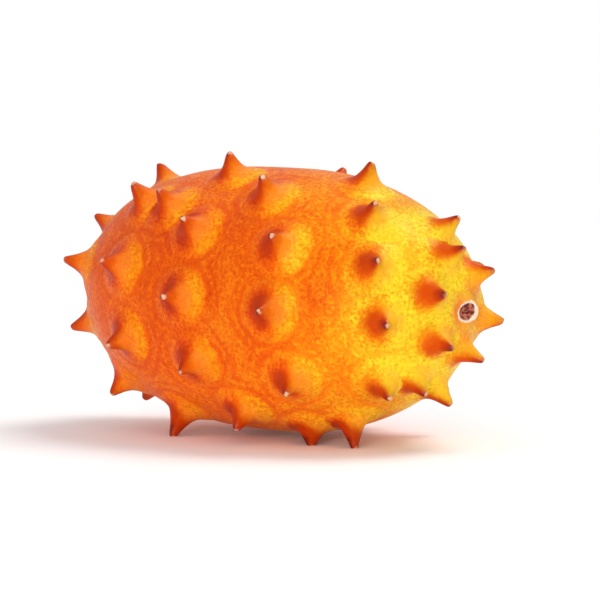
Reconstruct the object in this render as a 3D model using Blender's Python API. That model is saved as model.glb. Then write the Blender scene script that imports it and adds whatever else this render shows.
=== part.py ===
"""Horned melon: one whole fruit, grown as one piece, lying on five of its horns.

The long axis runs along X with the stem end at +X. The front is -Y, the floor is z = 0
and the box round the fruit stands centred on the origin.
"""

import math

import bmesh
import bpy
from mathutils import Vector

MM = 0.001

# The body, a round that is longer and blunter towards the blossom end, both ends bent up.
STEM_LENGTH = 54 * MM
BLOSSOM_LENGTH = 66 * MM
BELLY_RADIUS = 35.1 * MM
STEM_BLUNTNESS = 1.94
BLOSSOM_BLUNTNESS = 2.9
END_BEND = 1.2 * MM

# How the body lies over the floor.
AXIS_HEIGHT = 36.4 * MM
BODY_PLACE = Vector((4.3 * MM, 0.0, AXIS_HEIGHT))

# Every horn stands on a low, wide mound.
MOUND_HEIGHT = 1.8 * MM
MOUND_REACH = 10 * MM
MOUND_FADE = 0.6           # share of a mound's height that is lost at the very ends
HORN_REACH = 4.6 * MM
HORN_HOLLOW = 3.2
TIP_ROUNDING = 1.0 * MM
TIP_BLUNTNESS = 4.0
END_LEAN = 0.45
REST_BLUNTING = 0.5 * MM
FLOOR_SNAP = 0.1 * MM
FLAT_DOWN = -0.999          # a face whose normal points lower than this is worn flat

# Horns as (distance from the widest place towards the stem end in mm, angle round the axis
# in degrees from the top towards the front, height over the mound in mm).
HORNS = (
    # crown round the stem scar
    (50, 13, 6.2), (51, 72, 5.8), (51, 135, 6.0), (51, 191, 6.8), (51, 251, 5.6), (52, 325, 6.2),
    # shoulder
    (34, 31, 5.0), (40, 61, 4.8), (43, 97, 4.8), (39, 142, 4.8), (44, 156, 5.0), (43, 184, 5.9),
    (27, 226, 5.0), (26, 249, 5.0), (34, 285, 5.0), (22, 302, 5.2), (45, 354, 5.6),
    # stem side of the belly
    (24, 5, 5.2), (5, 34, 4.8), (16, 60, 5.0), (16, 89, 5.0), (19, 123, 5.0),
    (7, 238, 5.2), (12, 268, 5.0), (8, 298, 4.8), (-4, 324, 5.0),
    # blossom side of the belly
    (-13, 19, 5.0), (-12, 56, 4.8), (-13, 86, 4.8), (-10, 114, 5.0), (-1, 141, 5.0),
    (-13, 244, 5.0), (-10, 280, 5.2), (-20, 308, 5.0),
    # blossom shoulder
    (-47, 355, 5.4), (-25, 43, 4.8), (-36, 38, 5.2), (-36, 74, 5.0), (-34, 108, 5.0),
    (-46, 145, 5.0), (-50, 180, 5.0), (-44, 217, 5.2), (-33, 256, 5.0), (-40, 285, 5.2),
    (-33, 326, 5.0),
    # crown round the blossom scar
    (-61, 14, 6.0), (-59, 70, 5.8), (-61, 128, 6.0), (-60, 193, 5.8), (-61, 254, 6.0),
    (-60, 312, 5.8),
)

# Horns that reach the floor and are worn flat there, as (distance in mm, angle in degrees).
RESTING_HORNS = ((13.5, 159), (24.5, 162), (-26, 151), (-22, 211), (3, 210))

# A corky scar at each end, a shallow dish inside a low rim, as (end, place off the axis in
# Y and Z in mm, radius in mm, slope of the skin round it in Y and Z).
SCARS = ((1, (1.4, -1.5), 2.8, (0.45, 0.05)), (-1, (0.8, 0.6), 3.2, (0.0, 0.10)))
SCAR_DEPTH = 0.9 * MM
SCAR_RIM = 0.4 * MM
SCAR_TILT_REACH = 5.5 * MM

# Mesh fineness, each row an edge length allowed within a distance of a horn or scar.
START_ROUNDS = 5
SPLIT_ROUNDS = 6
FINENESS = ((1.3 * MM, 0.9 * MM), (3.0 * MM, 2.0 * MM), (7.0 * MM, 4.2 * MM))

SKIN_COLOUR = (0.90, 0.32, 0.03, 1.0)
SKIN_ROUGHNESS = 0.42


def skin_point(direction):
    """Body surface under a direction of the unit ball, with its outward normal."""
    along = direction.x
    if along > 0:
        length, bluntness = STEM_LENGTH, STEM_BLUNTNESS
    else:
        length, bluntness = BLOSSOM_LENGTH, BLOSSOM_BLUNTNESS
    share = min(abs(along), 1.0)
    radius = BELLY_RADIUS * math.sqrt(max(0.0, 1.0 - share ** bluntness))
    across = Vector((0.0, direction.y, direction.z))
    if across.length > 1e-9:
        across.normalize()
    bend = END_BEND * (along * length / STEM_LENGTH) ** 2
    point = Vector((along * length, across.y * radius, across.z * radius + bend))
    slope = bluntness * share ** (bluntness - 1.0) / length
    normal = Vector((math.copysign(slope, along), 0.0, 0.0))
    normal += 2.0 * radius / BELLY_RADIUS ** 2 * across
    return point, normal.normalized()


def ball_direction(station, angle_deg):
    """Unit direction of a place given by distance along the axis and angle round it."""
    length = STEM_LENGTH if station > 0 else BLOSSOM_LENGTH
    along = station * MM / length
    across = math.sqrt(1.0 - along * along)
    angle = math.radians(angle_deg)
    return Vector((along, -across * math.sin(angle), across * math.cos(angle)))


def place_horn(station, angle_deg, height):
    """Foot, pointing direction and height of one horn; no height means it meets the floor."""
    direction = ball_direction(station, angle_deg)
    foot, normal = skin_point(direction)
    lean = math.copysign(END_LEAN * abs(direction.x) ** 3, direction.x)
    pointing = (normal + Vector((lean, 0.0, 0.0))).normalized()
    if height is None:
        mound_top = foot + MOUND_HEIGHT * normal
        height = (-AXIS_HEIGHT - REST_BLUNTING - mound_top.z) / pointing.z
    else:
        height *= MM
    return direction, foot, pointing, height


def mound_rise(distance):
    """Height of a mound over the body, falling to nothing at its edge."""
    share = distance / MOUND_REACH
    return MOUND_HEIGHT * (1.0 - share * share) ** 2 if share < 1.0 else 0.0


def horn_rise(distance, height):
    """Height of a horn over its mound: a hollow-sided cone with a blunt, rounded tip."""
    rounded = (distance ** TIP_BLUNTNESS + TIP_ROUNDING ** TIP_BLUNTNESS) ** (1.0 / TIP_BLUNTNESS)
    share = (rounded - TIP_ROUNDING) / HORN_REACH
    return height * (1.0 - share) ** HORN_HOLLOW if share < 1.0 else 0.0


def scar_direction(end, sideways, upwards):
    """Unit direction of a scar's centre, given its end and its place off the axis in mm."""
    across = Vector((0.0, sideways, upwards)) * MM / BELLY_RADIUS
    return Vector((end * math.sqrt(1.0 - across.length_squared), across.y, across.z))


def scar_tilt(offset, slope):
    """Height the skin round a scar gains from leaning the way its slope says."""
    share = offset.length / SCAR_TILT_REACH
    if share >= 1.0:
        return 0.0
    return (offset.y * slope[0] + offset.z * slope[1]) * (1.0 - share ** 4) ** 2


def scar_rise(distance, radius):
    """Height of a scar over the body: a dish, then a low rim that fades outwards."""
    if distance < radius:
        share = distance / radius
        return SCAR_RIM * share ** 4 - SCAR_DEPTH * (1.0 - share * share) ** 2
    share = (distance - radius) / radius
    return SCAR_RIM * (1.0 - share) ** 2 if share < 1.0 else 0.0


def shaped_point(direction, horns, scars):
    """Finished surface point over a direction of the unit ball."""
    point, normal = skin_point(direction)
    raised = 0.0
    reach = Vector((0.0, 0.0, 0.0))
    mound_share = 1.0 - MOUND_FADE * abs(direction.x) ** 6
    for _, foot, pointing, height in horns:
        distance = (point - foot).length
        raised = max(raised, mound_share * mound_rise(distance))
        reach += horn_rise(distance, height) * pointing
    for _, centre, radius, slope in scars:
        offset = point - centre
        raised += scar_tilt(offset, slope) + scar_rise(offset.length, radius)
    return point + raised * normal + reach


def allowed_edge(distance):
    """Longest edge allowed at a distance from the nearest horn or scar."""
    for near, edge in FINENESS:
        if distance < near:
            return edge
    return math.inf


def pin_to_centres(bm, centres):
    """Move the nearest free vertex of the ball onto each horn and scar centre."""
    free = set(bm.verts)
    for centre in centres:
        vertex = min(free, key=lambda v: ((v.co - centre).length, v.index))
        vertex.co = centre
        free.discard(vertex)


def split_long_edges(bm, centre_points):
    """Halve the edges of the ball that are too long for where they lie on the body."""
    long_edges = []
    for edge in bm.edges:
        first = skin_point(edge.verts[0].co)[0]
        second = skin_point(edge.verts[1].co)[0]
        middle = (first + second) / 2.0
        distance = min((middle - centre).length for centre in centre_points)
        if (first - second).length > allowed_edge(distance):
            long_edges.append(edge)
    if not long_edges:
        return False
    bmesh.ops.subdivide_edges(bm, edges=long_edges, cuts=1)
    bmesh.ops.triangulate(bm, faces=bm.faces[:], quad_method="BEAUTY")
    for vertex in bm.verts:
        vertex.co.normalize()
    return True


def wear_flat(bm):
    """Cut the resting horns off at the floor and close each cut with a flat face."""
    geometry = bm.verts[:] + bm.edges[:] + bm.faces[:]
    bmesh.ops.bisect_plane(
        bm, geom=geometry, dist=FLOOR_SNAP, plane_co=(0, 0, 0), plane_no=(0, 0, -1),
        use_snap_center=True, clear_outer=True,
    )
    rims = [edge for edge in bm.edges if edge.is_boundary]
    bmesh.ops.holes_fill(bm, edges=rims, sides=0)


def build_fruit():
    """The whole fruit as one closed mesh."""
    horns = [place_horn(*row) for row in HORNS]
    horns += [place_horn(station, angle, None) for station, angle in RESTING_HORNS]
    scars = []
    for end, place, radius, slope in SCARS:
        direction = scar_direction(end, *place)
        scars.append((direction, skin_point(direction)[0], radius * MM, slope))

    bm = bmesh.new()
    bmesh.ops.create_icosphere(bm, subdivisions=START_ROUNDS, radius=1.0)
    bm.verts.index_update()
    centres = [horn[0] for horn in horns] + [scar[0] for scar in scars]
    centre_points = [skin_point(centre)[0] for centre in centres]
    pin_to_centres(bm, centres)
    for _ in range(SPLIT_ROUNDS):
        if not split_long_edges(bm, centre_points):
            break

    for vertex in bm.verts:
        vertex.co = shaped_point(vertex.co, horns, scars) + BODY_PLACE
    wear_flat(bm)
    bmesh.ops.recalc_face_normals(bm, faces=bm.faces[:])
    for face in bm.faces:
        face.smooth = face.normal.z > FLAT_DOWN
    mesh = bpy.data.meshes.new("horned_melon")
    bm.to_mesh(mesh)
    bm.free()
    return mesh


def skin_material():
    """Orange, half-glossy skin."""
    material = bpy.data.materials.new("melon_skin")
    material.use_nodes = True
    shader = material.node_tree.nodes["Principled BSDF"]
    shader.inputs["Base Color"].default_value = SKIN_COLOUR
    shader.inputs["Roughness"].default_value = SKIN_ROUGHNESS
    shader.inputs["Metallic"].default_value = 0.0
    return material


for old in list(bpy.data.objects):
    bpy.data.objects.remove(old, do_unlink=True)

fruit_mesh = build_fruit()
fruit_mesh.materials.append(skin_material())
fruit = bpy.data.objects.new("horned_melon", fruit_mesh)
bpy.context.scene.collection.objects.link(fruit)
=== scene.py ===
import math

import bmesh
import bpy
import numpy as np
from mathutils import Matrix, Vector, noise


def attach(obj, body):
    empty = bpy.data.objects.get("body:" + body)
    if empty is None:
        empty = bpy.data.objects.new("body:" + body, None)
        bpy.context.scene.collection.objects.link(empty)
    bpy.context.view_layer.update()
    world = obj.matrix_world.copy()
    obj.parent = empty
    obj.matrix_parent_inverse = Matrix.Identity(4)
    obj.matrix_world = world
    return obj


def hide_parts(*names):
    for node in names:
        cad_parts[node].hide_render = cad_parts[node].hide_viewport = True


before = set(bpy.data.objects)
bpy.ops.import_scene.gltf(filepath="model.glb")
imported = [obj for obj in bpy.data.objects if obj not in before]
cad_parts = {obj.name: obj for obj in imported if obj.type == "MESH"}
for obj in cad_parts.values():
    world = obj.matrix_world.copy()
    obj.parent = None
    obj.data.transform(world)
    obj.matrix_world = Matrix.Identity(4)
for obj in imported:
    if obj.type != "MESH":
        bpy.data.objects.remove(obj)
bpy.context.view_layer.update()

MM = 0.001
TINY = 1e-9

# ---------------------------------------------------------------------------------------
# The fruit's shape: the same body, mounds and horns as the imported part, in a finer mesh.
# ---------------------------------------------------------------------------------------
STEM_LENGTH = 54 * MM
BLOSSOM_LENGTH = 66 * MM
BELLY_RADIUS = 35.1 * MM
STEM_BLUNTNESS = 1.94
BLOSSOM_BLUNTNESS = 2.9
END_BEND = 1.2 * MM
AXIS_HEIGHT = 36.4 * MM
BODY_PLACE = np.array((4.3 * MM, 0.0, AXIS_HEIGHT))

MOUND_HEIGHT = 1.8 * MM
MOUND_REACH = 10 * MM
MOUND_FADE = 0.6            # share of a mound's height that is lost at the very ends
MOUND_FADE_POWER = 6
HORN_REACH = 4.6 * MM
HORN_HOLLOW = 3.2           # above one, a horn's flanks curve inwards
TIP_ROUNDING = 1.0 * MM
TIP_BLUNTNESS = 4.0
END_LEAN = 0.45
END_LEAN_POWER = 3
REST_BLUNTING = 0.5 * MM
FLOOR_SNAP = 0.02 * MM
FLAT_DOWN = -0.999          # a face whose normal points lower than this is worn flat

# Horns as (distance from the widest place towards the stem end in mm, angle round the axis
# in degrees from the top towards the front, height over the mound in mm).
HORNS = (
    # crown round the stem scar
    (50, 13, 6.2), (51, 72, 5.8), (51, 135, 6.0), (51, 191, 6.8), (51, 251, 5.6), (52, 325, 6.2),
    # shoulder
    (34, 31, 5.0), (40, 61, 4.8), (43, 97, 4.8), (39, 142, 4.8), (44, 156, 5.0), (43, 184, 5.9),
    (27, 226, 5.0), (26, 249, 5.0), (34, 285, 5.0), (22, 302, 5.2), (45, 354, 5.6),
    # stem side of the belly
    (24, 5, 5.2), (5, 34, 4.8), (16, 60, 5.0), (16, 89, 5.0), (19, 123, 5.0),
    (7, 238, 5.2), (12, 268, 5.0), (8, 298, 4.8), (-4, 324, 5.0),
    # blossom side of the belly
    (-13, 19, 5.0), (-12, 56, 4.8), (-13, 86, 4.8), (-10, 114, 5.0), (-1, 141, 5.0),
    (-13, 244, 5.0), (-10, 280, 5.2), (-20, 308, 5.0),
    # blossom shoulder
    (-47, 355, 5.4), (-25, 43, 4.8), (-36, 38, 5.2), (-36, 74, 5.0), (-34, 108, 5.0),
    (-46, 145, 5.0), (-50, 180, 5.0), (-44, 217, 5.2), (-33, 256, 5.0), (-40, 285, 5.2),
    (-33, 326, 5.0),
    # crown round the blossom scar
    (-61, 14, 6.0), (-59, 70, 5.8), (-61, 128, 6.0), (-60, 193, 5.8), (-61, 254, 6.0),
    (-60, 312, 5.8),
)
# Horns that reach the floor and are worn flat there, as (distance in mm, angle in degrees).
RESTING_HORNS = ((13.5, 159), (24.5, 162), (-26, 151), (-22, 211), (3, 210))

# Scars as (end, place off the axis in Y and Z in mm, radius in mm, slope in Y and Z).
SCARS = ((1, (1.4, -1.5), 2.8, (0.45, 0.05)), (-1, (0.8, 0.6), 3.2, (0.0, 0.10)))
SCAR_DEPTH = 0.9 * MM
SCAR_RIM = 0.4 * MM
SCAR_RIM_POWER = 4
SCAR_RIM_REACH = 2.0        # where the rim has faded out, in scar radii
SCAR_TILT_REACH = 5.5 * MM
SCAR_TILT_POWER = 4
FAR_FROM_SCARS = 100.0      # in scar radii

# Relief that only this finer mesh has.
BODY_DENT = 0.35 * MM       # slow unevenness of the whole body, always inwards
BODY_DENT_SIZE = 22 * MM
DENT_FADE = 4.0             # how fast the dents die out up a horn
FURROW_PLACE = 8.6 * MM     # a faint furrow round the foot of each mound
FURROW_WIDTH = 1.8 * MM
FURROW_DEPTH = 0.14 * MM
FURROW_UNEVENNESS = 0.6     # share of the furrow's depth
FURROW_PATCH = 6 * MM
CORK_UNEVENNESS = 0.10 * MM
CORK_GRAIN = 0.8 * MM
CONE_UNEVENNESS = 0.16      # share of the distance from the horn
CONE_GRAIN = 3.5 * MM
TIP_SETBACK = 0.22 * MM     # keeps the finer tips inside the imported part's box
TIP_SLANT = 0.35            # steepest slope of a horn's end in any one direction
TIP_END_POWER = 4           # how sharply the slant stops at the rim of the end

# Smooth noise: how far apart the seeds lie in X, Y and Z, and the seed of each use.
SEED_STEPS = (7.3, 3.1, 5.7)
DENT_SEED, FURROW_SEED, CORK_SEED, CONE_SEED = 1, 2, 3, 4

# What the skin's colours follow from horn to horn.
TIP_SEED = 5                # for the slants too
TIP_PALENESS = (0.45, 1.0)      # how pale a horn's end is, least and most: partly a pale dry tip, partly a painted glint
CROWN_SHARE = 0.88          # horns nearer an end than this share of its length form a crown
CROWN_PALENESS = 0.25           # the crowns' paleness as a share of the others'
SIDE_SOFTENING = 0.5 * MM   # the middle of a horn's tip belongs to no side

# Mesh fineness: a ball of small faces, then rounds of splitting near the horns and scars.
START_ROUNDS = 7
SPLIT_ROUNDS = 4
# Rows of (distance from a horn's or scar's centre, longest edge allowed within it).
FINENESS = ((1.4 * MM, 0.34 * MM), (3.4 * MM, 0.62 * MM), (5.5 * MM, 1.0 * MM))
TURN_ROUNDS = 3
THINNEST_FACE = 0.06        # least area of a face as a share of its longest edge squared


def skin_points(directions):
    """Body surface under directions of the unit ball, with outward normals."""
    along = directions[:, 0]
    towards_stem = along > 0
    length = np.where(towards_stem, STEM_LENGTH, BLOSSOM_LENGTH)
    bluntness = np.where(towards_stem, STEM_BLUNTNESS, BLOSSOM_BLUNTNESS)
    share = np.minimum(np.abs(along), 1.0)
    radius = BELLY_RADIUS * np.sqrt(np.maximum(0.0, 1.0 - share ** bluntness))
    across = directions[:, 1:]
    across = across / np.maximum(np.linalg.norm(across, axis=1), TINY)[:, None]
    bend = END_BEND * (along * length / STEM_LENGTH) ** 2
    points = np.stack((along * length, across[:, 0] * radius, across[:, 1] * radius + bend), 1)
    slope = np.sign(along) * bluntness * share ** (bluntness - 1.0) / length
    outward = 2.0 * radius / BELLY_RADIUS ** 2
    normals = np.stack((slope, outward * across[:, 0], outward * across[:, 1]), 1)
    return points, normals / np.linalg.norm(normals, axis=1)[:, None]


def ball_direction(station, angle_deg):
    """Unit direction of a place given by distance along the axis and angle round it."""
    length = STEM_LENGTH if station > 0 else BLOSSOM_LENGTH
    along = station * MM / length
    across = math.sqrt(1.0 - along * along)
    angle = math.radians(angle_deg)
    return (along, -across * math.sin(angle), across * math.cos(angle))


class Horns:
    """All the horns, one row each: where they stand, how they point and how they end."""

    def __init__(self):
        rows = list(HORNS) + [(station, angle, None) for station, angle in RESTING_HORNS]
        self.directions = np.array([ball_direction(station, angle) for station, angle, _ in rows])
        self.feet, normals = skin_points(self.directions)
        self.pointing = normals.copy()
        self.pointing[:, 0] += END_LEAN * self.directions[:, 0] ** END_LEAN_POWER
        self.pointing /= np.linalg.norm(self.pointing, axis=1)[:, None]
        self.heights = np.empty(len(rows))
        for i, (_, _, height) in enumerate(rows):
            if height is None:
                mound_top = self.feet[i, 2] + MOUND_HEIGHT * normals[i, 2]
                drop = -AXIS_HEIGHT - REST_BLUNTING - mound_top
                self.heights[i] = drop / self.pointing[i, 2]
            else:
                self.heights[i] = height * MM - TIP_SETBACK
        chance = np.random.RandomState(TIP_SEED)
        self.slants = chance.uniform(-TIP_SLANT, TIP_SLANT, (len(rows), 3))
        self.paleness = chance.uniform(*TIP_PALENESS, len(rows))
        self.paleness[np.abs(self.directions[:, 0]) > CROWN_SHARE] *= CROWN_PALENESS
        self.stemward = np.array((1.0, 0.0, 0.0)) - normals[:, :1] * normals
        self.stemward /= np.linalg.norm(self.stemward, axis=1)[:, None]


def scar_directions():
    """Ball direction of each scar's centre."""
    rows = []
    for end, (sideways, upwards), _, _ in SCARS:
        across = np.array((sideways, upwards)) * MM / BELLY_RADIUS
        rows.append((end * math.sqrt(1.0 - float(across @ across)), across[0], across[1]))
    return np.array(rows)


def slow_noise(points, size, seed):
    """Smooth noise from -1 to 1 over the points, with bumps about the given size."""
    shift = Vector([seed * step for step in SEED_STEPS])
    return np.array([noise.noise(Vector(p) / size + shift) for p in points])


def fade_out(share, power=2):
    """One in the middle, falling smoothly to nought where the share is one."""
    return np.maximum(0.0, 1.0 - share ** power) ** 2


def scar_rise(distance, radius):
    """Height of a scar over the body: a dish, then a low rim that fades outwards."""
    share = distance / radius
    inside = SCAR_RIM * share ** SCAR_RIM_POWER - SCAR_DEPTH * (1.0 - share ** 2) ** 2
    outside = SCAR_RIM * np.maximum(0.0, SCAR_RIM_REACH - share) ** 2
    return np.where(share < 1.0, inside, outside)


def raise_scars(points):
    """How far the scars lift the body's points, and the distance from them in scar radii."""
    raised = np.zeros(len(points))
    scar_share = np.full(len(points), FAR_FROM_SCARS)
    grain = CORK_UNEVENNESS * slow_noise(points, CORK_GRAIN, CORK_SEED)
    for centre, (_, _, radius_mm, slopes) in zip(skin_points(scar_directions())[0], SCARS):
        radius = radius_mm * MM
        offset = points - centre
        distance = np.linalg.norm(offset, axis=1)
        tilt = offset[:, 1] * slopes[0] + offset[:, 2] * slopes[1]
        raised += tilt * fade_out(distance / SCAR_TILT_REACH, SCAR_TILT_POWER)
        raised += scar_rise(distance, radius) + np.where(distance < radius, grain, 0.0)
        scar_share = np.minimum(scar_share, distance / radius)
    return raised, scar_share


def shape_fruit(directions, horns):
    """Finished surface points over the ball, and what the skin's colours follow."""
    points, normals = skin_points(directions)
    gaps = points[:, None, :] - horns.feet[None, :, :]
    distances = np.linalg.norm(gaps, axis=2)
    nearest = distances.argmin(1)
    row = np.arange(len(points))
    gap, near = gaps[row, nearest], distances[row, nearest]

    cone_noise = slow_noise(points, CONE_GRAIN, CONE_SEED)
    uneven = distances * (1.0 + CONE_UNEVENNESS * cone_noise)[:, None]
    rounded = (uneven ** TIP_BLUNTNESS + TIP_ROUNDING ** TIP_BLUNTNESS) ** (1 / TIP_BLUNTNESS)
    rounded -= TIP_ROUNDING
    cones = np.maximum(0.0, 1.0 - rounded / HORN_REACH) ** HORN_HOLLOW

    mound_share = 1.0 - MOUND_FADE * np.abs(directions[:, 0]) ** MOUND_FADE_POWER
    raised = MOUND_HEIGHT * mound_share * fade_out(near / MOUND_REACH)
    calm = 1.0 - np.clip(cones.max(1) * DENT_FADE, 0.0, 1.0)
    raised -= BODY_DENT * 0.5 * (1.0 + slow_noise(points, BODY_DENT_SIZE, DENT_SEED)) * calm
    furrow = np.exp(-((near - FURROW_PLACE) / FURROW_WIDTH) ** 2)
    patches = 1.0 + FURROW_UNEVENNESS * slow_noise(points, FURROW_PATCH, FURROW_SEED)
    raised -= FURROW_DEPTH * furrow * patches
    scar_raised, scar_share = raise_scars(points)
    raised += scar_raised

    ends = np.exp(-((near / TIP_ROUNDING) ** TIP_END_POWER))
    slant = (gap * horns.slants[nearest]).sum(1) * ends
    reach = (cones * horns.heights) @ horns.pointing + slant[:, None] * horns.pointing[nearest]
    shaped = points + raised[:, None] * normals + reach + BODY_PLACE
    side = (gap * horns.stemward[nearest]).sum(1) / np.maximum(near, SIDE_SOFTENING)
    fields = {
        "horn_distance": near / MM,
        "stem_side": np.clip(side, -1.0, 1.0),
        "scar_share": scar_share,
        "tip_paleness": horns.paleness[nearest],
    }
    return shaped, fields


def pin_to_centres(bm, centres):
    """Move the nearest free vertex of the ball onto each horn and scar centre."""
    places = np.array([vertex.co[:] for vertex in bm.verts])
    taken = set()
    bm.verts.ensure_lookup_table()
    for centre in centres:
        order = np.argsort(np.linalg.norm(places - centre, axis=1), kind="stable")
        index = next(int(i) for i in order if int(i) not in taken)
        bm.verts[index].co = centre
        taken.add(index)


def split_long_edges(bm, centre_points):
    """Halve the ball's edges that are too long for where they lie; False if none is."""
    bm.verts.index_update()
    bm.edges.ensure_lookup_table()
    places = skin_points(np.array([vertex.co[:] for vertex in bm.verts]))[0]
    ends = np.array([(edge.verts[0].index, edge.verts[1].index) for edge in bm.edges])
    first, second = places[ends[:, 0]], places[ends[:, 1]]
    lengths = np.linalg.norm(first - second, axis=1)
    middles = (first + second) / 2.0
    distance = np.linalg.norm(middles[:, None, :] - centre_points[None, :, :], axis=2).min(1)
    allowed = np.full(len(lengths), np.inf)
    for near, edge_length in reversed(FINENESS):
        allowed[distance < near] = edge_length
    too_long = np.nonzero(lengths > allowed)[0]
    if len(too_long) == 0:
        return False
    bmesh.ops.subdivide_edges(bm, edges=[bm.edges[int(i)] for i in too_long], cuts=1)
    bmesh.ops.triangulate(bm, faces=bm.faces[:], quad_method="BEAUTY")
    for vertex in bm.verts:
        vertex.co.normalize()
    return True


def turn_thin_faces(bm):
    """Turn the longest edge of every face that has almost no width; False if none has."""
    long_edges = []
    for face in bm.faces:
        longest = max(face.edges, key=lambda edge: edge.calc_length())
        thinnest = THINNEST_FACE * longest.calc_length() ** 2
        if face.calc_area() < thinnest and longest not in long_edges:
            long_edges.append(longest)
    if long_edges:
        bmesh.ops.rotate_edges(bm, edges=long_edges, use_ccw=False)
    return bool(long_edges)


def wear_flat(bm):
    """Cut the resting horns off at the floor and close each cut with a flat face."""
    geometry = bm.verts[:] + bm.edges[:] + bm.faces[:]
    bmesh.ops.bisect_plane(
        bm, geom=geometry, dist=FLOOR_SNAP, plane_co=(0, 0, 0), plane_no=(0, 0, -1),
        use_snap_center=True, clear_outer=True,
    )
    rims = [edge for edge in bm.edges if edge.is_boundary]
    bmesh.ops.holes_fill(bm, edges=rims, sides=0)


def build_fruit():
    """The whole fruit as one closed mesh with the fields its skin is coloured by."""
    horns = Horns()
    centres = np.vstack((horns.directions, scar_directions()))
    centre_points = skin_points(centres)[0]

    bm = bmesh.new()
    bmesh.ops.create_icosphere(bm, subdivisions=START_ROUNDS, radius=1.0)
    pin_to_centres(bm, centres)
    for _ in range(SPLIT_ROUNDS):
        if not split_long_edges(bm, centre_points):
            break
        for _ in range(TURN_ROUNDS):
            if not turn_thin_faces(bm):
                break

    shaped, fields = shape_fruit(np.array([vertex.co[:] for vertex in bm.verts]), horns)
    layers = {name: bm.verts.layers.float.new(name) for name in fields}
    for i, vertex in enumerate(bm.verts):
        vertex.co = shaped[i]
        for name, layer in layers.items():
            vertex[layer] = fields[name][i]
    wear_flat(bm)
    bmesh.ops.recalc_face_normals(bm, faces=bm.faces[:])
    for face in bm.faces:
        face.smooth = face.normal.z > FLAT_DOWN
    mesh = bpy.data.meshes.new("melon_rind")
    bm.to_mesh(mesh)
    bm.free()
    return mesh


# ---------------------------------------------------------------------------------------
# The skin's finish
# ---------------------------------------------------------------------------------------
# Ramps are (start, end, result at the start, result at the end), or from nought to one where
# only start and end are given. Places along the fruit and heights over the floor are in
# metres, distances from a horn in millimetres, and distances from a scar in scar radii. The
# side of a horn runs from -1, towards the blossom end, to 1, towards the stem. Noises are
# (scale per metre, detail, roughness, distortion), and a wander is a noise with its amount
# put first.

# Ripeness: red at nought, yellow at one.
RIPE_COLOURS = (
    (0.00, (0.46, 0.030, 0.0012, 1.0)),
    (0.20, (0.66, 0.062, 0.0018, 1.0)),
    (0.40, (0.76, 0.108, 0.0026, 1.0)),
    (0.60, (0.85, 0.215, 0.0045, 1.0)),
    (0.80, (0.87, 0.410, 0.0110, 1.0)),
    (1.00, (0.89, 0.640, 0.0240, 1.0)),
)
PLACE_WANDER = (0.016, 45.0, 1.0)
RIPE_WANDER = (0.30, 90.0)
RIPE_ALONG = (-0.010, 0.040, 0.40, 0.58)
RIPE_SHOULDER = (0.034, 0.050, 0.0, 0.37)
UNRIPE_ROUND_SCAR = (4.4, 1.8, 0.0, 0.24)
# Painted light: yellower close to the floor, standing in for light thrown up from the floor.
PAINTED_LIGHT_BELOW = (0.004, 0.034, 0.15, 0.0)
RIPE_TOP = (0.054, 0.074, 0.0, 0.11)
RIPE_UPPER = (0.044, 0.064)
RIPE_UPPER_ALONG = (0.014, 0.034, 0.0, 0.13)
# Painted light: the skin is brightened close to the floor, standing in for light from the floor
# below.
UNDERSIDE = (0.034, 0.010)
UNDERSIDE_PAINTED_LIGHT = (1.14, 1.08, 1.15, 1.0)

# Mounds: yellow crescents, partly painted light, red flanks, partly painted shade, and soft red
# bands round them.
FOOT_WANDERS = ((3.0, 260.0), (3.0, 900.0))
CRESCENT_EDGES = ((3.0, 6.2), (11.0, 6.6))
CRESCENT_SIDE = (0.0, 0.9)
CRESCENT_STRENGTH = (0.010, 0.030, 0.07, 0.24)
FLANK_REACH = (7.8, 3.0)
FLANK_SIDE = (0.60, -0.50)
FLANK_STRENGTH = (0.020, 0.045, 0.45, 0.32)
BAND_WANDER = (6.0, 110.0, 3.0, 0.6)
INNER_BAND_EDGES = ((7.9, 9.2), (10.9, 9.5))
OUTER_BAND_EDGES = ((11.2, 12.1), (13.4, 12.4))
OUTER_BAND_SHARE = 0.8
BAND_PATCH_NOISE = (70.0, 1.0)
BAND_PATCHES = (0.36, 0.60, 0.35, 1.0)
BAND_STRENGTH = (0.026, 0.046, 0.16, 0.08)

# Mottle: paler lines round darker dots.
MAZE_NOISE = (640.0, 0.5, 0.5, 0.3)
MAZE_LINES = (0.0, 0.12, 1.0, 0.0)
DOT_NOISE = (1200.0, 1.5)
MOTTLE_LINES = 0.09
MOTTLE_DOTS = 0.60
CLEAR_OF_HORN = (2.0, 4.5, 0.2, 1.0)
CLEAR_OF_SCAR = (1.1, 1.7)
MOTTLE_PATCH_NOISE = (330.0,)
MOTTLE_PATCHES = (0.35, 0.65, 0.6, 1.0)
MOTTLE_IN_BAND = (0.0, 1.0, 1.0, 0.55)
MOTTLE_BY_RIPENESS = (0.55, 0.85, 0.85, 0.60)
DOT_SHADE = (0.76, 0.66, 0.48, 1.0)
SHADED_DOTS = (0.12, -0.14)
SHADED_BY_RIPENESS = (0.50, 0.80, 0.55, 0.95)

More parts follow.
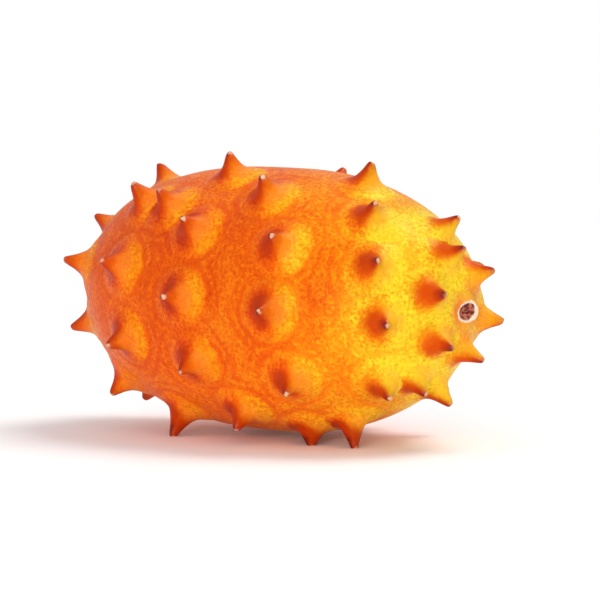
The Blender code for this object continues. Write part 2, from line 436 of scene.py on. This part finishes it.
# Horns: a pale blush on the stem side, partly painted light, red on the other side, partly
# painted shade, dark near the tip and darkest on the shaded side, and a pale end, partly a
# painted glint.
BLUSH_AND_PAINTED_LIGHT = (0.92, 0.33, 0.040, 1.0)
BLUSH_AND_LIGHT_EDGES = ((1.4, 3.0), (6.4, 4.2))
BLUSH_AND_LIGHT_SIDE = (0.1, 0.9)
BLUSH_AND_LIGHT_SHARE = 0.30
HORN_RED = (0.47, 0.032, 0.0010, 1.0)
HORN_BRIGHT = (0.60, 0.060, 0.0020, 1.0)
BRIGHT_ALONG = (0.038, 0.052)
BRIGHT_HEIGHT = (0.010, 0.028)
RED_WANDER = (1.6, 420.0)
RED_REACH = (5.0, 1.3, 0.0, 0.95)
RED_SIDE_SHIFT = 2.1
RED_SHRINK_ALONG = (0.015, 0.042, 0.0, 0.4)
RED_PAINTED_SHADE_BELOW = (0.012, 0.003, 0.0, 2.0)
TIP_WANDER = (0.6, 1100.0)
TIP_PAINTED_SHADE_BELOW = (0.006, 0.001, 0.0, 1.2)
TIP_SHADE_SIDE = (0.6, -0.4, 0.20, 1.0)
TIP_BROWN = (0.36, 0.018, 0.0015, 1.0)
BROWN_REACH = (2.2, 0.9)
TIP_MAROON = (0.19, 0.012, 0.003, 1.0)
MAROON_REACH = (1.15, 0.70)
TIP_PALE = (0.80, 0.48, 0.30, 1.0)
PALE_WANDER = (1.1, 1300.0)
PALE_REACH = (0.70, 0.30)
PALE_SIDE_SHIFT = 0.30

# Scars: a ring round a darker flecked disc, pale and pink at the stem, brown at the blossom.
STEM_END = (-0.010, 0.010)
CORK_NOISE = (1100.0, 3.0, 0.6)
CORK_FLECKS = (0.42, 0.62)
CORK_DARK = (0.10, 0.016, 0.012, 1.0)
CORK_PINK = (0.50, 0.15, 0.10, 1.0)
HUSK_BROWN = (0.42, 0.20, 0.085, 1.0)
SCAR_EDGE_CORK = 0.25
SCAR_EDGE_WANDER = (0.30, 420.0, 1.0)
SCAR_EDGE = (1.10, 0.98)
RING_EDGE = (0.74, 0.84)
CORK_PALE = (0.88, 0.70, 0.54, 1.0)
HUSK_PALE = (0.76, 0.54, 0.31, 1.0)
CORK_TAN = (0.60, 0.36, 0.22, 1.0)
FIBRE_NOISE = (1700.0, 2.0, 0.6)
FIBRE_WORN = (0.52, 0.34)
RING_WORN = (1.02, 0.80, 0.25, 1.0)
SCAR_BLUSH = (0.80, 0.16, 0.045, 1.0)
FLUSH_WANDER = (1.6, 300.0)
FLUSH_REACH = (3.3, 1.1)
FLUSH_STRENGTH = (-0.010, 0.010, 0.18, 0.50)

# Gloss and fine relief.
SKIN_ROUGHNESS = 0.40
LINE_SMOOTHNESS = -0.10
TIP_SMOOTHNESS = 0.14
PALE_END_ROUGHNESS = 0.25
SCAR_ROUGHNESS = (1.2, 1.0, 0.0, 0.35)
TIP_COAT = (1.6, 0.9, 0.0, 0.25)
LINE_RELIEF = 0.5
CORK_RELIEF = (1.2, 1.0, 0.0, 1.5)
RING_RISE = (0.72, 0.90, 0.0, 2.5)
RING_FALL = (0.98, 1.12, 0.0, 2.5)
RELIEF_STRENGTH = 0.35
RELIEF_HEIGHT = 0.08 * MM
RIND_SETTINGS = {
    "Coat Roughness": 0.22,
    "Specular IOR Level": 0.12,
    "Specular Tint": (1.0, 0.62, 0.22, 1.0),
    "Subsurface Weight": 0.08,
    "Subsurface Radius": (1.0, 0.32, 0.08),
    "Subsurface Scale": 2.0 * MM,
}

# Sockets of a colour mixing node, whose names are shared by its other kinds.
MIX_FIRST, MIX_SECOND, MIX_RESULT = 6, 7, 2


class RindNodes:
    """The places the rind's colours follow, and short ways to place and join nodes."""

    def __init__(self, tree):
        self.tree = tree
        self.coordinates = tree.nodes.new("ShaderNodeTexCoord").outputs["Object"]
        split = tree.nodes.new("ShaderNodeSeparateXYZ")
        tree.links.new(self.coordinates, split.inputs["Vector"])
        self.along, self.height = split.outputs["X"], split.outputs["Z"]
        self.horn_distance = self.field("horn_distance")
        self.stem_side = self.field("stem_side")
        self.scar_share = self.field("scar_share")
        self.tip_paleness = self.field("tip_paleness")
        self.place = self.plus(self.along, self.wander(*PLACE_WANDER))
        foot_wander = self.plus(*[self.wander(*settings) for settings in FOOT_WANDERS])
        self.foot = self.plus(self.horn_distance, foot_wander)

    def put(self, socket, value):
        """Link the socket to another socket, or set it to a plain value."""
        if isinstance(value, bpy.types.NodeSocket):
            self.tree.links.new(value, socket)
        else:
            socket.default_value = value

    def maths(self, operation, *values):
        node = self.tree.nodes.new("ShaderNodeMath")
        node.operation = operation
        for socket, value in zip(node.inputs, values):
            self.put(socket, value)
        return node.outputs["Value"]

    def plus(self, first, second):
        return self.maths("ADD", first, second)

    def minus(self, first, second):
        return self.maths("SUBTRACT", first, second)

    def times(self, first, second):
        return self.maths("MULTIPLY", first, second)

    def swing(self, value, amount):
        """A mask or noise round one half turned into a change round nought."""
        return self.times(self.minus(value, 0.5), amount)

    def ramp(self, value, start, end, at_start=0.0, at_end=1.0):
        """Smooth change of the result as the value goes from start to end."""
        node = self.tree.nodes.new("ShaderNodeMapRange")
        node.interpolation_type = "SMOOTHSTEP"
        node.inputs["From Min"].default_value = start
        node.inputs["From Max"].default_value = end
        node.inputs["To Min"].default_value = at_start
        node.inputs["To Max"].default_value = at_end
        self.put(node.inputs["Value"], value)
        return node.outputs["Result"]

    def between(self, value, edges):
        """A mask that is one only between two soft edges."""
        rising, falling = edges
        return self.times(self.ramp(value, *rising), self.ramp(value, *falling))

    def mix(self, share, first, second, blend="MIX"):
        node = self.tree.nodes.new("ShaderNodeMix")
        node.data_type = "RGBA"
        node.blend_type = blend
        self.put(node.inputs["Factor"], share)
        self.put(node.inputs[MIX_FIRST], first)
        self.put(node.inputs[MIX_SECOND], second)
        return node.outputs[MIX_RESULT]

    def field(self, name):
        """A value kept on the mesh."""
        node = self.tree.nodes.new("ShaderNodeAttribute")
        node.attribute_type = "GEOMETRY"
        node.attribute_name = name
        return node.outputs["Fac"]

    def noise(self, scale, detail=2.0, roughness=0.5, distortion=0.0):
        node = self.tree.nodes.new("ShaderNodeTexNoise")
        node.inputs["Scale"].default_value = scale
        node.inputs["Detail"].default_value = detail
        node.inputs["Roughness"].default_value = roughness
        node.inputs["Distortion"].default_value = distortion
        self.put(node.inputs["Vector"], self.coordinates)
        return node.outputs["Fac"]

    def wander(self, amount, *noise_settings):
        """Noise turned into an uneven change round nought."""
        return self.swing(self.noise(*noise_settings), amount)


def ripen_with_light_below(n):
    """Ripeness over the whole fruit: red-orange at the blossom end, yellow on the shoulder, and
    painted light near the floor.
    """
    ripe = n.plus(n.ramp(n.place, *RIPE_ALONG), n.ramp(n.place, *RIPE_SHOULDER))
    ripe = n.minus(ripe, n.ramp(n.scar_share, *UNRIPE_ROUND_SCAR))
    # Painted light: yellower close to the floor, for light from the floor below.
    ripe = n.plus(ripe, n.ramp(n.height, *PAINTED_LIGHT_BELOW))
    ripe = n.plus(ripe, n.ramp(n.height, *RIPE_TOP))
    upper = n.times(n.ramp(n.height, *RIPE_UPPER), n.ramp(n.place, *RIPE_UPPER_ALONG))
    ripe = n.plus(ripe, upper)
    return n.plus(ripe, n.wander(*RIPE_WANDER))


def ripen_and_shade_mounds(n, ripe):
    """A yellow crescent at each mound's foot on its stem side, partly painted light, and a red
    flank on the other, partly painted shade.
    """
    # The yellow crescent on the stem side is partly the skin's own colour and partly painted
    # light on the side the light falls on, stronger higher up.
    crescent = n.times(n.between(n.foot, CRESCENT_EDGES), n.ramp(n.stem_side, *CRESCENT_SIDE))
    ripe = n.plus(ripe, n.times(crescent, n.ramp(n.height, *CRESCENT_STRENGTH)))
    # The red flank on the blossom side is partly the skin's own colour and partly painted shade.
    flank = n.times(n.ramp(n.foot, *FLANK_REACH), n.ramp(n.stem_side, *FLANK_SIDE))
    return n.minus(ripe, n.times(flank, n.ramp(n.place, *FLANK_STRENGTH)))


def bands_round_mounds(n):
    """Mask of two soft, broken rings round each mound."""
    band_place = n.plus(n.horn_distance, n.wander(*BAND_WANDER))
    outer = n.times(n.between(band_place, OUTER_BAND_EDGES), OUTER_BAND_SHARE)
    band = n.plus(n.between(band_place, INNER_BAND_EDGES), outer)
    return n.times(band, n.ramp(n.noise(*BAND_PATCH_NOISE), *BAND_PATCHES))


def colour_skin(n, ripe, mottle):
    """Skin colour from its ripeness, darker in the dots, and brightened near the floor as painted
    light from below.
    """
    ground = n.tree.nodes.new("ShaderNodeValToRGB")
    stops = ground.color_ramp.elements
    while len(stops) < len(RIPE_COLOURS):
        stops.new(0.5)
    for stop, (position, shade) in zip(stops, RIPE_COLOURS):
        stop.position = position
        stop.color = shade
    n.put(ground.inputs["Fac"], ripe)
    shaded = n.times(n.ramp(mottle, *SHADED_DOTS), n.ramp(ripe, *SHADED_BY_RIPENESS))
    colour = n.mix(shaded, ground.outputs["Color"], DOT_SHADE, "MULTIPLY")
    # Painted light from the floor below brightens the underside.
    return n.mix(n.ramp(n.height, *UNDERSIDE), colour, UNDERSIDE_PAINTED_LIGHT, "MULTIPLY")


def colour_horns(n, colour):
    """The colour with the horns put in, partly painted light and shade, and masks of their dark
    tips and of their pale ends, which are partly a painted glint.
    """
    # The pale blush on each horn's stem side is partly the skin's own colour and partly painted
    # light on the lit side.
    blush_and_light = n.times(n.between(n.foot, BLUSH_AND_LIGHT_EDGES), n.ramp(n.stem_side, *BLUSH_AND_LIGHT_SIDE))
    colour = n.mix(n.times(blush_and_light, BLUSH_AND_LIGHT_SHARE), colour, BLUSH_AND_PAINTED_LIGHT)

    near_tip = n.plus(n.horn_distance, n.wander(*TIP_WANDER))
    # Painted shade: the dark tips reach further on the low horns that face the floor.
    near_tip = n.minus(near_tip, n.ramp(n.height, *TIP_PAINTED_SHADE_BELOW))
    # The red reaches further down each horn's blossom side: partly the horn's own colour, partly
    # painted shade.
    red_place = n.plus(near_tip, n.times(n.stem_side, RED_SIDE_SHIFT))
    red_place = n.plus(red_place, n.wander(*RED_WANDER))
    red_place = n.plus(red_place, n.ramp(n.place, *RED_SHRINK_ALONG))
    # Painted shade: the red reaches further on the low horns that face the floor.
    red_place = n.minus(red_place, n.ramp(n.height, *RED_PAINTED_SHADE_BELOW))
    bright = n.times(n.ramp(n.place, *BRIGHT_ALONG), n.ramp(n.height, *BRIGHT_HEIGHT))
    horn_red = n.mix(bright, HORN_RED, HORN_BRIGHT)
    colour = n.mix(n.ramp(red_place, *RED_REACH), colour, horn_red)

    # Painted shade: the brown and maroon near each tip are darkest on the blossom side, over the
    # tip's own dark colour.
    shade_side = n.ramp(n.stem_side, *TIP_SHADE_SIDE)
    colour = n.mix(n.times(n.ramp(near_tip, *BROWN_REACH), shade_side), colour, TIP_BROWN)
    tip = n.times(n.ramp(near_tip, *MAROON_REACH), shade_side)
    colour = n.mix(tip, colour, TIP_MAROON)

    # The pale end is partly a pale dry tip and partly a painted glint, moved towards the lit stem
    # side.
    end_place = n.plus(n.horn_distance, n.wander(*PALE_WANDER))
    end_place = n.minus(end_place, n.times(n.stem_side, PALE_SIDE_SHIFT))
    pale_end_and_glint = n.times(n.ramp(end_place, *PALE_REACH), n.tip_paleness)
    return n.mix(pale_end_and_glint, colour, TIP_PALE), tip, pale_end_and_glint


def colour_scars(n, colour, edge, cork_noise, fibre):
    """The colour with a flush round each scar and the corky ring and disc put in."""
    stem_end = n.ramp(n.along, *STEM_END)
    flecks = n.mix(stem_end, HUSK_BROWN, CORK_PINK)
    disc = n.mix(n.ramp(cork_noise, *CORK_FLECKS), CORK_DARK, flecks)
    ring = n.mix(stem_end, HUSK_PALE, CORK_PALE)
    worn_ring = n.times(n.ramp(fibre, *FIBRE_WORN), n.ramp(edge, *RING_WORN))
    ring = n.mix(worn_ring, ring, CORK_TAN)
    cork = n.mix(n.ramp(edge, *RING_EDGE), disc, ring)
    flushed = n.plus(n.scar_share, n.wander(*FLUSH_WANDER))
    flush = n.times(n.ramp(flushed, *FLUSH_REACH), n.ramp(n.along, *FLUSH_STRENGTH))
    colour = n.mix(flush, colour, SCAR_BLUSH)
    return n.mix(n.ramp(edge, *SCAR_EDGE), colour, cork)


def rind_material():
    """Ripe rind: mottled orange and yellow skin, redder horns with dark tips, corky scars, and
    painted light and shade on mounds, horns and underside.
    """
    material = bpy.data.materials.new("melon_rind")
    material.use_nodes = True
    n = RindNodes(material.node_tree)
    shader = n.tree.nodes["Principled BSDF"]

    band = bands_round_mounds(n)
    ripe = ripen_and_shade_mounds(n, ripen_with_light_below(n))
    ripe = n.minus(ripe, n.times(band, n.ramp(n.place, *BAND_STRENGTH)))

    from_maze = n.maths("ABSOLUTE", n.minus(n.noise(*MAZE_NOISE), 0.5))
    lines = n.ramp(from_maze, *MAZE_LINES)
    dots = n.noise(*DOT_NOISE)
    open_skin = n.ramp(n.horn_distance, *CLEAR_OF_HORN)
    open_skin = n.times(open_skin, n.ramp(n.scar_share, *CLEAR_OF_SCAR))
    mottle = n.plus(n.swing(lines, MOTTLE_LINES), n.swing(dots, MOTTLE_DOTS))
    patches = n.ramp(n.noise(*MOTTLE_PATCH_NOISE), *MOTTLE_PATCHES)
    shown = n.times(open_skin, n.ramp(band, *MOTTLE_IN_BAND))
    mottle = n.times(n.times(mottle, patches), shown)
    ripe = n.plus(ripe, n.times(mottle, n.ramp(ripe, *MOTTLE_BY_RIPENESS)))

    cork_noise, fibre = n.noise(*CORK_NOISE), n.noise(*FIBRE_NOISE)
    edge = n.plus(n.scar_share, n.swing(cork_noise, SCAR_EDGE_CORK))
    edge = n.plus(edge, n.wander(*SCAR_EDGE_WANDER))
    colour, tip, pale_end_and_glint = colour_horns(n, colour_skin(n, ripe, mottle))
    colour = colour_scars(n, colour, edge, cork_noise, fibre)
    n.put(shader.inputs["Base Color"], colour)

    roughness = n.plus(SKIN_ROUGHNESS, n.swing(lines, LINE_SMOOTHNESS))
    roughness = n.minus(roughness, n.times(tip, TIP_SMOOTHNESS))
    roughness = n.plus(roughness, n.times(pale_end_and_glint, PALE_END_ROUGHNESS))
    roughness = n.plus(roughness, n.ramp(edge, *SCAR_ROUGHNESS))
    n.put(shader.inputs["Roughness"], roughness)
    n.put(shader.inputs["Coat Weight"], n.ramp(n.horn_distance, *TIP_COAT))

    relief = n.times(n.plus(n.times(lines, LINE_RELIEF), dots), open_skin)
    relief = n.plus(relief, n.times(n.plus(cork_noise, fibre), n.ramp(edge, *CORK_RELIEF)))
    relief = n.plus(relief, n.ramp(edge, *RING_RISE))
    relief = n.minus(relief, n.ramp(edge, *RING_FALL))
    bump = n.tree.nodes.new("ShaderNodeBump")
    n.put(bump.inputs["Strength"], RELIEF_STRENGTH)
    n.put(bump.inputs["Distance"], RELIEF_HEIGHT)
    n.put(bump.inputs["Height"], relief)
    n.put(shader.inputs["Normal"], bump.outputs["Normal"])

    for name, value in RIND_SETTINGS.items():
        n.put(shader.inputs[name], value)
    return material


# ---------------------------------------------------------------------------------------
# Studio: pale floor, soft lamps, long lens
# ---------------------------------------------------------------------------------------
FLOOR_RADIUS = 0.8
FLOOR_SEGMENTS = 128
PAPER_COLOUR = (0.96, 0.96, 0.96, 1.0)
PAPER_ROUGHNESS = 0.7
# Lamps as (name, azimuth in degrees, elevation in degrees, distance, size, power in watts).
LAMPS = (
    ("key_lamp", 150, 62, 2.0, 0.9, 21.0),
    ("front_lamp", 26, 5, 2.0, 0.9, 23.0),
)
WHITE = (1.0, 1.0, 1.0, 1.0)
LIGHTING_STRENGTH = 0.68    # the air as it lights the fruit
BACKDROP_STRENGTH = 1.0     # the air as the camera sees it
CAMERA_AZIMUTH = 38
CAMERA_ELEVATION = 5
CAMERA_DISTANCE = 1.2
LENS = 271.7
NEAREST_SEEN = 0.01
LIT_SHADER, SEEN_SHADER = 1, 2      # sockets of a shader mixing node, both named Shader


def plain_object(name, mesh):
    """An object at the origin for a finished mesh."""
    thing = bpy.data.objects.new(name, mesh)
    bpy.context.scene.collection.objects.link(thing)
    return thing


def build_floor():
    """Round floor under the fruit."""
    bm = bmesh.new()
    bmesh.ops.create_circle(bm, cap_ends=True, segments=FLOOR_SEGMENTS, radius=FLOOR_RADIUS)
    bmesh.ops.recalc_face_normals(bm, faces=bm.faces[:])
    mesh = bpy.data.meshes.new("studio_floor")
    bm.to_mesh(mesh)
    bm.free()
    return mesh


def floor_material():
    """Plain pale paper."""
    material = bpy.data.materials.new("studio_paper")
    material.use_nodes = True
    shader = material.node_tree.nodes["Principled BSDF"]
    shader.inputs["Base Color"].default_value = PAPER_COLOUR
    shader.inputs["Roughness"].default_value = PAPER_ROUGHNESS
    return material


def stand_round(target, name, data, azimuth_deg, elevation_deg, distance):
    """A lamp or camera placed by its angles round a target and facing it."""
    azimuth, elevation = math.radians(azimuth_deg), math.radians(elevation_deg)
    away = Vector((
        math.sin(azimuth) * math.cos(elevation),
        -math.cos(azimuth) * math.cos(elevation),
        math.sin(elevation),
    ))
    thing = bpy.data.objects.new(name, data)
    thing.location = target + away * distance
    thing.rotation_euler = away.to_track_quat("Z", "Y").to_euler()
    bpy.context.scene.collection.objects.link(thing)
    return thing


def soft_lamp(name, azimuth_deg, elevation_deg, distance, size, power):
    """Square soft lamp aimed at the fruit."""
    lamp = bpy.data.lights.new(name, "AREA")
    lamp.shape = "SQUARE"
    lamp.size = size
    lamp.energy = power
    target = Vector((0.0, 0.0, AXIS_HEIGHT))
    return stand_round(target, name, lamp, azimuth_deg, elevation_deg, distance)


def studio_air():
    """White air: a bright backdrop for the camera, and dimmer light on the fruit."""
    world = bpy.data.worlds.new("studio_air")
    world.use_nodes = True
    air = world.node_tree
    lit = air.nodes["Background"]
    lit.inputs["Color"].default_value = WHITE
    lit.inputs["Strength"].default_value = LIGHTING_STRENGTH
    seen = air.nodes.new("ShaderNodeBackground")
    seen.inputs["Color"].default_value = WHITE
    seen.inputs["Strength"].default_value = BACKDROP_STRENGTH
    ray = air.nodes.new("ShaderNodeLightPath")
    choice = air.nodes.new("ShaderNodeMixShader")
    air.links.new(ray.outputs["Is Camera Ray"], choice.inputs["Fac"])
    air.links.new(lit.outputs["Background"], choice.inputs[LIT_SHADER])
    air.links.new(seen.outputs["Background"], choice.inputs[SEEN_SHADER])
    air.links.new(choice.outputs["Shader"], air.nodes["World Output"].inputs["Surface"])
    return world


rind = plain_object("melon_rind", build_fruit())
rind.data.materials.append(rind_material())
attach(rind, "root")
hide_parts("horned_melon")

floor = plain_object("studio_floor", build_floor())
floor.data.materials.append(floor_material())

for settings in LAMPS:
    soft_lamp(*settings)
bpy.context.scene.world = studio_air()
bpy.context.scene.view_settings.view_transform = "Standard"

lens = bpy.data.cameras.new("camera")
lens.lens = LENS
lens.clip_start = NEAREST_SEEN
bpy.context.scene.camera = stand_round(
    Vector(BODY_PLACE), "camera", lens, CAMERA_AZIMUTH, CAMERA_ELEVATION, CAMERA_DISTANCE,
)
